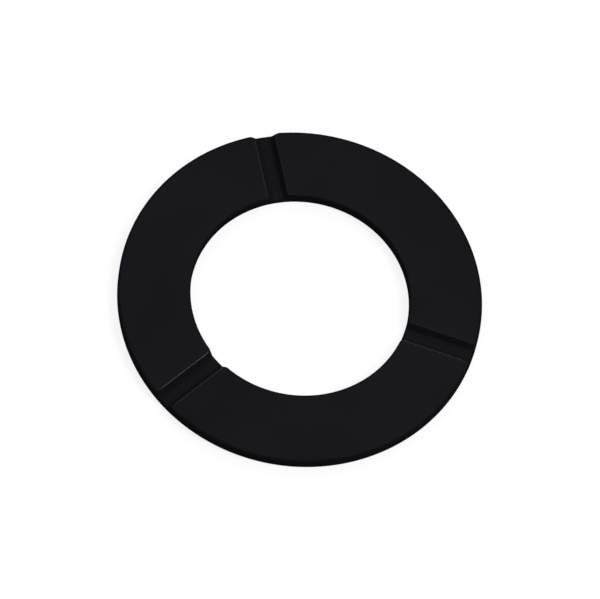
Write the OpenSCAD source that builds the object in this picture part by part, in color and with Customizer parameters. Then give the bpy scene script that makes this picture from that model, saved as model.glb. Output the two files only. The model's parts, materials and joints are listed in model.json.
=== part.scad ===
// Thrust washer: a flat ring with radial oil grooves across its running face.
// The origin is the centre of the bore on the plain back. +Z comes out of the
// running face, and the first groove runs along +X.

/* [Ring] */
// Outside diameter
outer_d = 84; // [70:1:120]
// Diameter of the bore, which runs on a 50 mm shaft
bore_d = 50.5; // [30:0.5:60]
// Thickness from the plain back to the running face
thickness = 3; // [2:0.1:6]
// Radius of the rounded edges round the rim
rim_edge_r = 0.5; // [0.1:0.1:0.9]
// Radius of the rounded edges round the bore
bore_edge_r = 0.3; // [0.1:0.1:0.9]

/* [Oil grooves] */
// Number of grooves, evenly spread round the face
groove_count = 3; // [1:1:8]
// Width of a groove in the face, across its rounded shoulders
groove_w = 5.2; // [3:0.1:8]
// Depth of a groove below the face
groove_depth = 1.5; // [0.5:0.1:1.9]
// Slope of the groove walls, measured from the face
wall_slope = 60; // [40:5:75]
// Radius of the shoulders, where the walls leave the face
shoulder_r = 0.3; // [0.1:0.1:0.8]
// Radius of the roots, where the walls meet the floor
root_r = 0.3; // [0.1:0.1:0.6]

/* [Hidden] */
$fn = 192;

// How far a cutting shape runs past the surface that it cuts
overrun = 1;
// How far the round arcs of a groove bite into the straight sides next to them,
// so that arc and side cross in one clean edge
bite = 0.002;
groove_pitch = 360 / groove_count;
floor_z = thickness - groove_depth;

// Half widths of the groove where its walls, carried on straight, would meet
// the face and the floor
face_corner_x = groove_w / 2 - shoulder_r * tan(wall_slope / 2);
floor_corner_x = face_corner_x - groove_depth / tan(wall_slope);

// Centres of the two arcs on one side of the groove. Each touches the wall
// square to its slope.
shoulder_centre = [groove_w / 2, thickness - shoulder_r];
root_centre = [floor_corner_x - root_r * tan(wall_slope / 2), floor_z + root_r];
off_wall = [sin(wall_slope), -cos(wall_slope)];

function mirror_x(points) = [for (i = [len(points) - 1 : -1 : 0]) [-points[i].x, points[i].y]];

// Strip as high as the ring is thick, centred on x = 0, with fully rounded ends
module rounded_strip(edge_r) {
    translate([-edge_r, edge_r]) square([2 * edge_r, thickness - 2 * edge_r]);
    for (y = [edge_r, thickness - edge_r])
        translate([0, y]) circle(edge_r);
}

// Cross-section of the plain ring, with x as the distance from the axis
module ring_section() {
    face_in = bore_d / 2 + bore_edge_r;
    face_out = outer_d / 2 - rim_edge_r;
    translate([face_in, 0]) square([face_out - face_in, thickness]);
    translate([face_in, 0]) rounded_strip(bore_edge_r);
    translate([face_out, 0]) rounded_strip(rim_edge_r);
}

// Cross-section of what a groove takes away, with y as the height over the back
module groove_section() {
    right_side = [
        [root_centre.x, floor_z],
        root_centre + root_r * off_wall,
        shoulder_centre - shoulder_r * off_wall,
        shoulder_centre,
        [shoulder_centre.x, thickness + overrun]
    ];
    difference() {
        union() {
            polygon(concat(right_side, mirror_x(right_side)));
            for (side = [-1, 1])
                translate([side * root_centre.x, root_centre.y]) circle(root_r + bite);
        }
        for (side = [-1, 1])
            translate([side * shoulder_centre.x, shoulder_centre.y]) circle(shoulder_r + bite);
    }
}

// One groove, from inside the bore out through the rim
module oil_groove() {
    rotate([90, 0, 90])
        linear_extrude(outer_d / 2 + overrun) groove_section();
}

module thrust_washer() {
    color([0.095, 0.093, 0.108])
        difference() {
            rotate_extrude() ring_section();
            for (i = [0 : groove_count - 1])
                rotate([0, 0, i * groove_pitch]) oil_groove();
        }
}

thrust_washer();
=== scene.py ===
import json
import math
import bpy
from mathutils import Matrix, Vector


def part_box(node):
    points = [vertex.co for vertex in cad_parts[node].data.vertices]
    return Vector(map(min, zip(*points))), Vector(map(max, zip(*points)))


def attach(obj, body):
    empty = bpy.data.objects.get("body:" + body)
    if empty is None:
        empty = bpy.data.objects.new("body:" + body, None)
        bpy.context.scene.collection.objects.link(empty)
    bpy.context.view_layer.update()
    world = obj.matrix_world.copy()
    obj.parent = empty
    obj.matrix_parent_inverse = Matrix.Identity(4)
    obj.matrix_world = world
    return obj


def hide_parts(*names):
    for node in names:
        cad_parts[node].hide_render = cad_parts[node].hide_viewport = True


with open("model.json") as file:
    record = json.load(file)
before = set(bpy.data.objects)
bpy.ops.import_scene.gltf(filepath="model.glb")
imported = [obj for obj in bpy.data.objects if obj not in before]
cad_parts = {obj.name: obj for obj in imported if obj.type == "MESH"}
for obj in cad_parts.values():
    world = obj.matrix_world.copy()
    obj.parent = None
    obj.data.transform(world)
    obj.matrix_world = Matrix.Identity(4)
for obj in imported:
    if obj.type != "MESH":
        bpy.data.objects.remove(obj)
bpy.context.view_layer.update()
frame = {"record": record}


# Camera
# A long lens looks down on the washer from the front, a little to one side of the
# first groove, and is turned about its own axis, so that the ring leans in the
# picture as it does in the photograph.
camera_azimuth = math.radians(7.9)
camera_elevation = math.radians(63.93)
camera_roll = math.radians(11.66)
camera_distance = 1.414
pixels_per_outer_radius = 183.09
face_centre_pixel = Vector((300.45, 294.99))
picture_size = Vector((600, 599))
sensor_width = 36.0

ring_low, ring_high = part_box("thrust_washer")
outer_radius = (ring_high.x - ring_low.x) / 2
thickness = ring_high.z - ring_low.z


def direction_from(azimuth, elevation):
    """Unit vector from the washer towards a camera or lamp. Azimuth 0 is in front, on -Y."""
    level = math.cos(elevation)
    return Vector((math.sin(azimuth) * level, -math.cos(azimuth) * level, math.sin(elevation)))


pixel_size = outer_radius / pixels_per_outer_radius
back = direction_from(camera_azimuth, camera_elevation)
level_right = Vector((0, 0, 1)).cross(back).normalized()
level_up = back.cross(level_right)
right = level_right * math.cos(camera_roll) + level_up * math.sin(camera_roll)
up = back.cross(right)
off_centre = (face_centre_pixel - picture_size / 2) * pixel_size
aim = Vector((0, 0, thickness)) - right * off_centre.x + up * off_centre.y

camera_data = bpy.data.cameras.new("photo_camera")
camera_data.sensor_width = sensor_width
camera_data.lens = sensor_width * camera_distance / (pixel_size * picture_size.x)
camera_data.clip_start = 0.01
camera_data.clip_end = 100
camera = bpy.data.objects.new("photo_camera", camera_data)
camera.matrix_world = Matrix.Translation(aim + back * camera_distance) @ Matrix(
    (right, up, back)).transposed().to_4x4()
bpy.context.scene.collection.objects.link(camera)
bpy.context.scene.camera = camera


# Light
# Plain soft studio light: an even white tent, and four strip lights on the right and
# behind. Each hangs where one rounded shoulder of a groove, leaning over by
# shoulder_lean, throws its light into the camera. It is long in the direction that
# the light moves in as the shoulder leans more or less, so the whole shoulder gleams.
tent_strength = 0.68
strip_distance = 2.0
strip_length = 1.3
strip_width = 0.3
shoulder_lean = math.radians(24)
lean_step = math.radians(0.5)

# Name, azimuth that the shoulder leans to in degrees, and light on the washer
strips = (
    ("right_strip", 60, 1.35),
    ("back_right_strip", 120, 0.33),
    ("back_strip", 180, 0.54),
    ("back_left_strip", 240, 0.44),
)


def mirrored(azimuth, lean):
    """Where a surface that leans over towards an azimuth shows the camera its light from."""
    facing = direction_from(azimuth, math.pi / 2 - lean)
    return 2 * facing.dot(back) * facing - back


for name, azimuth, strength in strips:
    azimuth = math.radians(azimuth)
    towards = mirrored(azimuth, shoulder_lean)
    sideways = towards.cross(mirrored(azimuth, shoulder_lean + lean_step)).normalized()
    lamp_data = bpy.data.lights.new(name, "AREA")
    lamp_data.shape = "RECTANGLE"
    lamp_data.size = strip_width
    lamp_data.size_y = strip_length
    lamp_data.energy = strength * math.pi * strip_distance ** 2
    lamp = bpy.data.objects.new(name, lamp_data)
    lamp.matrix_world = Matrix.Translation(towards * strip_distance) @ Matrix(
        (sideways, towards.cross(sideways), towards)).transposed().to_4x4()
    bpy.context.scene.collection.objects.link(lamp)


def calculate(tree, operation, *values):
    """One sum in a node tree, on values that are sockets or plain numbers."""
    step = tree.nodes.new("ShaderNodeMath")
    step.operation = operation
    for socket, value in zip(step.inputs, values):
        if isinstance(value, float):
            socket.default_value = value
        else:
            tree.links.new(value, socket)
    return step.outputs["Value"]


def sees_white(tree):
    """1 for what the camera sees, straight or in a reflection or through glass, and 0 for light."""
    path = tree.nodes.new("ShaderNodeLightPath")
    seen = path.outputs["Is Camera Ray"]
    for ray in ("Is Glossy Ray", "Is Transmission Ray"):
        seen = calculate(tree, "MAXIMUM", seen, path.outputs[ray])
    return seen


def mix_shaders(tree, share, first, second):
    """The first shader where the share is 0, and the second where it is 1."""
    either = tree.nodes.new("ShaderNodeMixShader")
    for socket, value in zip(either.inputs, (share, first, second)):
        tree.links.new(value, socket)
    return either.outputs["Shader"]


world = bpy.data.worlds.new("studio")
bpy.context.scene.world = world
world.use_nodes = True
tree = world.node_tree
tent = tree.nodes["Background"]
tent.inputs["Color"].default_value = (1, 1, 1, 1)
tent.inputs["Strength"].default_value = tent_strength
backdrop = tree.nodes.new("ShaderNodeBackground")
backdrop.inputs["Color"].default_value = (1, 1, 1, 1)
backdrop.inputs["Strength"].default_value = 1.0
surroundings = mix_shaders(
    tree, sees_white(tree), tent.outputs["Background"], backdrop.outputs["Background"])
tree.links.new(surroundings, tree.nodes["World Output"].inputs["Surface"])
bpy.context.scene.view_settings.view_transform = "Standard"


# Floor
# A plain white table top, a hair below the washer. Part of what is seen of it is white
# by itself, so that it joins the white background, and the rest is lit, so that it
# keeps the washer's shadow. From below it can be seen through.
floor_size = 6.0
floor_gap = 0.00003
floor_colour = (0.7, 0.7, 0.7, 1)
white_share = 0.73
white_strength = 1.12

bpy.ops.object.select_all(action="DESELECT")
bpy.ops.mesh.primitive_plane_add(size=floor_size, location=(0, 0, -floor_gap))
floor = bpy.context.object
floor.name = "floor"
white_table = bpy.data.materials.new("white_table")
white_table.use_nodes = True
tree = white_table.node_tree
table = tree.nodes["Principled BSDF"]
table.inputs["Base Color"].default_value = floor_colour
table.inputs["Roughness"].default_value = 1.0
table.inputs["Specular IOR Level"].default_value = 0.0
glow = tree.nodes.new("ShaderNodeEmission")
glow.inputs["Strength"].default_value = white_strength
clear = tree.nodes.new("ShaderNodeBsdfTransparent")
side = tree.nodes.new("ShaderNodeNewGeometry")
top_side = mix_shaders(
    tree, calculate(tree, "MULTIPLY", sees_white(tree), white_share),
    table.outputs["BSDF"], glow.outputs["Emission"])
both_sides = mix_shaders(tree, side.outputs["Backfacing"], top_side, clear.outputs["BSDF"])
tree.links.new(both_sides, tree.nodes["Material Output"].inputs["Surface"])
floor.data.materials.append(white_table)


# Washer
# One flat ring moulded in black nylon, three millimetres thick. Oil grooves with
# sloping walls cross its running face, every edge has a soft moulded radius, and the
# corners where a groove runs out are rounded off wider.
bore_mount = next(m for m in frame["record"]["mounts"] if m["name"] == "bore")
bore_radius = bore_mount["dims"]["r_mm"] / 1000
groove_count = 3
groove_width = 0.0052
groove_depth = 0.0015
wall_slope = math.radians(60)
shoulder_radius = 0.0003
groove_support = 0.00022
edge_support = 0.00055
land_columns = 24
join_distance = 1e-6
rounding_steps = 2

# Rings of the cage from the bore to the rim, as the way in from either edge, and how far
# the shoulders of a groove swing outwards there to round the mouth
bore_rings = ((0.0, 0.0008), (0.0004, 0.00014), (0.0009, 0.0), (0.0018, 0.0))
rim_rings = ((0.0024, 0.0), (0.0014, 0.0), (0.0007, 0.00014), (0.0, 0.0011))
rings = [(bore_radius + way_in, swing) for way_in, swing in bore_rings]
rings += [(outer_radius - way_in, swing) for way_in, swing in rim_rings]

# Lines of the cage along one side of a groove, as distance from its middle, height, and
# the share of the swing that they take
half_pitch = math.pi / groove_count
floor_z = thickness - groove_depth
face_corner = groove_width / 2 - shoulder_radius * math.tan(wall_slope / 2)
floor_corner = face_corner - groove_depth / math.tan(wall_slope)
along_wall = Vector((math.cos(wall_slope), math.sin(wall_slope))) * groove_support
groove_lines = (
    (0.0, floor_z, 0.0),
    (floor_corner - groove_support, floor_z, 0.25),
    (floor_corner, floor_z, 0.3),
    (floor_corner + along_wall.x, floor_z + along_wall.y, 0.35),
    (face_corner - along_wall.x, thickness - along_wall.y, 0.7),
    (face_corner, thickness, 1.0),
    (face_corner + groove_support, thickness, 1.0),
)
columns = len(groove_lines) - 1 + land_columns


def cage_point(column, ring):
    """Corner of the cage, counted from the middle of a groove and from the bore."""
    radius, swing = rings[ring]
    offset, height, share = groove_lines[min(column, len(groove_lines) - 1)]
    angle = math.asin((offset + swing * share) / radius)
    land_share = max(column - len(groove_lines) + 1, 0) / land_columns
    angle += (half_pitch - angle) * land_share
    return Vector((radius * math.cos(angle), radius * math.sin(angle), height))


# Half of one third of the top skin, from the middle of a groove to the middle of a land
bpy.ops.object.select_all(action="DESELECT")
bpy.ops.mesh.primitive_grid_add(x_subdivisions=columns, y_subdivisions=len(rings) - 1, size=1)
washer = bpy.context.object
washer.name = "black_washer"
for vertex in washer.data.vertices:
    column = round((vertex.co.x + 0.5) * columns)
    ring = round((vertex.co.y + 0.5) * (len(rings) - 1))
    vertex.co = cage_point(column, ring)

# Mirrored over the groove and turned into place for each groove
bpy.ops.object.mode_set(mode="EDIT")
bpy.ops.mesh.select_all(action="SELECT")
bpy.ops.mesh.duplicate()
bpy.ops.transform.mirror(constraint_axis=(False, True, False), center_override=(0, 0, 0))
bpy.ops.mesh.select_all(action="SELECT")
bpy.ops.mesh.remove_doubles(threshold=join_distance)
for turn in range(1, groove_count):
    bpy.ops.mesh.duplicate()
    bpy.ops.transform.rotate(value=2 * half_pitch, orient_axis="Z", center_override=(0, 0, 0))
bpy.ops.mesh.select_all(action="SELECT")
bpy.ops.mesh.remove_doubles(threshold=join_distance)

# The skin pulled down to the flat back, with a ring of the cage close to either edge of
# the rim and of the bore
bpy.ops.mesh.extrude_region_move(TRANSFORM_OT_translate={"value": (0, 0, -edge_support)})
bpy.ops.mesh.extrude_region_move(TRANSFORM_OT_translate={"value": (0, 0, -thickness)})
bpy.ops.transform.resize(value=(1, 1, 0), center_override=(0, 0, edge_support))
bpy.ops.mesh.extrude_region_move(TRANSFORM_OT_translate={"value": (0, 0, -edge_support)})
bpy.ops.mesh.select_all(action="SELECT")
bpy.ops.mesh.normals_make_consistent(inside=False)
bpy.ops.object.mode_set(mode="OBJECT")

# Rounded by subdivision: the closer two lines of the cage, the tighter the edge
bpy.ops.object.shade_smooth()
rounding = washer.modifiers.new("rounding", "SUBSURF")
rounding.levels = rounding_steps
rounding.render_levels = rounding_steps
bpy.ops.object.modifier_apply(modifier=rounding.name)

# Black moulded nylon, a little uneven in wide soft patches and in a fine grain. It is dull
# on its sides, and in the corners of the grooves, where less sheen is painted shade. Its rim,
# its bore and their edges carry painted shade in the deepest black. Its level faces have the
# faint sheen of the mould, and the shoulders of the grooves are rubbed brighter.
patch_size = 0.022
patch_detail = 2.0
grain_size = 0.0003
grain_detail = 3.0
noise_range = (0.3, 0.7)
# The deepest black is also the painted shade of the rim, the bore and their edges
deepest_black_and_edge_shade = (0.0054, 0.0051, 0.0068, 1)
palest_black = (0.0080, 0.0077, 0.0099, 1)
patch_share, grain_share = 0.4, 0.6
smoothest, roughest = 0.5, 0.7
grain_relief = 0.00002
grain_relief_strength = 0.5
sheen_roughness = 0.17
face_sheen = (0.051, 0.061)
grain_in_sheen = (0.7, 1.3)
side_share = 0.1
level_tilt, side_tilt = 8, 14
# How much sheen a groove and its corners lose, which darkens them as painted shade
corner_shade_loss = (0.3, 1.0)
corner_reach = (0.3, 1.05)
shoulder_sheen = 0.27
rubbed_from, rubbed_to = 7, 16.5
rubbed_depth = (0.00014, 0.00007)
# How far in from the rim and from the bore the painted shade and the dullness reach
shaded_dull_rim = (0.0007, 0.0004)
shaded_dull_bore = (0.0002, 0.0005)

nylon = bpy.data.materials.new("black_nylon")
nylon.use_nodes = True
tree = nylon.node_tree
shader = tree.nodes["Principled BSDF"]
shader.inputs["Specular IOR Level"].default_value = 0.0
shader.inputs["Coat Roughness"].default_value = sheen_roughness
place = tree.nodes.new("ShaderNodeTexCoord")


def noise(size, detail):
    """Soft noise whose spots are about as wide as size."""
    texture = tree.nodes.new("ShaderNodeTexNoise")
    texture.inputs["Scale"].default_value = 1 / size
    texture.inputs["Detail"].default_value = detail
    tree.links.new(place.outputs["Object"], texture.inputs["Vector"])
    return texture.outputs["Fac"]


def fade(value, start, end, at_start, at_end):
    """A soft change from one number to another as a value goes from its start to its end."""
    ramp = tree.nodes.new("ShaderNodeMapRange")
    ramp.interpolation_type = "SMOOTHSTEP"
    for socket, number in (("From Min", start), ("From Max", end),
                           ("To Min", at_start), ("To Max", at_end)):
        ramp.inputs[socket].default_value = number
    tree.links.new(value, ramp.inputs["Value"])
    return ramp.outputs["Result"]


def spots(texture, low, high):
    """Noise spread out over the numbers from low to high."""
    return fade(texture, *noise_range, low, high)


def split(vector):
    """The X, Y and Z of a vector."""
    parts = tree.nodes.new("ShaderNodeSeparateXYZ")
    tree.links.new(vector, parts.inputs["Vector"])
    return parts.outputs


def both(first, second):
    """Two masks multiplied, which is full where both are."""
    return calculate(tree, "MULTIPLY", first, second)


def upright_at(degrees):
    """What upright is on a surface that leans over by so much."""
    return math.cos(math.radians(degrees)) ** 2


patches = noise(patch_size, patch_detail)
grain = noise(grain_size, grain_detail)
shade = tree.nodes.new("ShaderNodeMix")
shade.data_type = "RGBA"
shade.inputs["A"].default_value = deepest_black_and_edge_shade
shade.inputs["B"].default_value = palest_black
unevenness = calculate(tree, "ADD", spots(patches, 0, patch_share), spots(grain, 0, grain_share))
tree.links.new(shade.outputs["Result"], shader.inputs["Base Color"])
tree.links.new(spots(grain, smoothest, roughest), shader.inputs["Roughness"])

# Distance from the axis, by which the rim, the bore and their edges get painted shade in
# the deepest black and stay dull
position = split(place.outputs["Object"])
radius = calculate(tree, "SQRT", calculate(
    tree, "ADD", both(position["X"], position["X"]), both(position["Y"], position["Y"])))
off_shaded_rim = fade(radius, *(outer_radius - way_in for way_in in shaded_dull_rim), 1, 0)
off_shaded_bore = fade(radius, *(bore_radius + way_in for way_in in shaded_dull_bore), 0, 1)
off_shaded_dull_edges = both(off_shaded_rim, off_shaded_bore)
# Painted shade: the colour goes to the deepest black on the rim, the bore and their edges
tree.links.new(both(unevenness, off_shaded_dull_edges), shade.inputs["Factor"])

# Distance from the middle of the nearest groove, for which the grooves are folded onto one
turn = calculate(tree, "ARCTAN2", position["Y"], position["X"])
from_groove = both(calculate(tree, "SINE", calculate(tree, "PINGPONG", turn, half_pitch)), radius)

# The sheen of the level faces, weaker down in a groove and least in its corners, which
# darkens them as painted shade. The back keeps all of it, under the grooves too.
normal = split(place.outputs["Normal"])
upright = both(normal["Z"], normal["Z"])
level = fade(upright, upright_at(side_tilt), upright_at(level_tilt), side_share, 1)
in_groove = both(fade(position["Z"], floor_z, thickness, 1, 0),
                 fade(position["Z"], 0, floor_z, 0, 1))
shaded_corner = fade(from_groove, *(share * floor_corner for share in corner_reach), *corner_shade_loss)
loss = both(in_groove, shaded_corner)
sheen = both(calculate(tree, "SUBTRACT", level, loss),
             both(spots(patches, *face_sheen), spots(grain, *grain_in_sheen)))

# The polish of the rubbed shoulders
near_top = fade(position["Z"], *(thickness - depth for depth in rubbed_depth), 0, 1)
leaning = fade(upright, upright_at(rubbed_to), upright_at(rubbed_from), shoulder_sheen, 0)
polish = both(near_top, leaning)
tree.links.new(both(calculate(tree, "MAXIMUM", sheen, polish), off_shaded_dull_edges),
               shader.inputs["Coat Weight"])

relief = tree.nodes.new("ShaderNodeBump")
relief.inputs["Strength"].default_value = grain_relief_strength
relief.inputs["Distance"].default_value = grain_relief
tree.links.new(grain, relief.inputs["Height"])
tree.links.new(relief.outputs["Normal"], shader.inputs["Normal"])
washer.data.materials.append(nylon)
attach(washer, "root")
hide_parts("thrust_washer")
